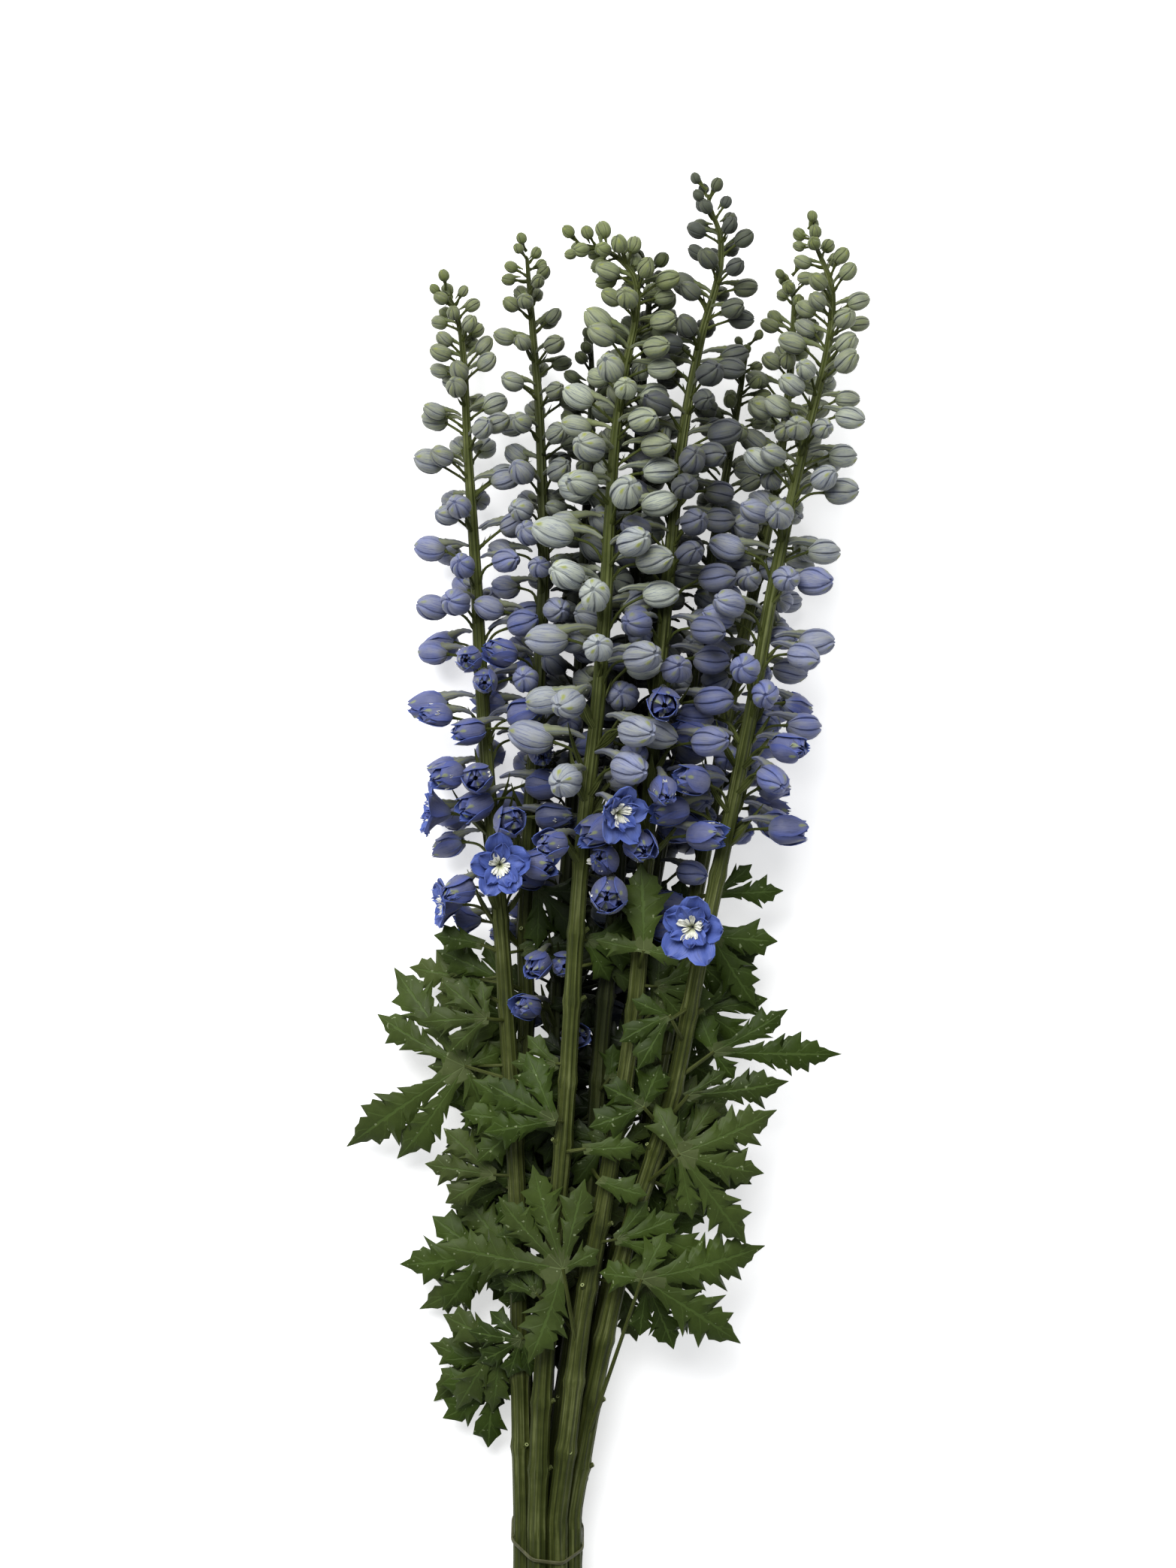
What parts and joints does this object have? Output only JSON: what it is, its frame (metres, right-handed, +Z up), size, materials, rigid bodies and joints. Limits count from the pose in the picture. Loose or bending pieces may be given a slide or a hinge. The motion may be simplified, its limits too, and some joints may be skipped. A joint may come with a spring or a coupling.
{
  "type": "delphinium flower bunch",
  "caption": "Tied bunch of tall cut delphinium stems lying flat: flower spikes of spurred buds opening blue at the bottom, lobed leaves, bare stalks in a rubber band.",
  "frame": {"origin": "middle of the bunch's bounding box, on the table it lies on", "axes": "+Y along the bunch to the flower tips, +X across it to the right as seen from above, +Z up from the table"},
  "size_m": [0.3469, 1.0228, 0.1505],
  "materials": {
    "stem_green": "matt plant green with grey-green to blue-violet buds and dark green leaves",
    "leaf_green": "matt deep leaf green with paler ribs",
    "bud_lilac": "matt downy bud skin, olive to grey-lilac and violet-blue",
    "petal_blue": "matt blue petal with darker veins",
    "bee_white": "matt cream-white petal",
    "rubber": "olive-brown natural rubber"
  },
  "bodies": {
    "root": {"stem_front": "stem_green", "stem_right": "stem_green", "stem_left": "stem_green", "stem_dark": "stem_green", "stem_left_low": "stem_green", "stem_middle": "stem_green", "stem_right_low": "stem_green", "stem_back_left": "stem_green", "stem_back_right": "stem_green", "rubber_band": "rubber"}
  },
  "joints": []
}
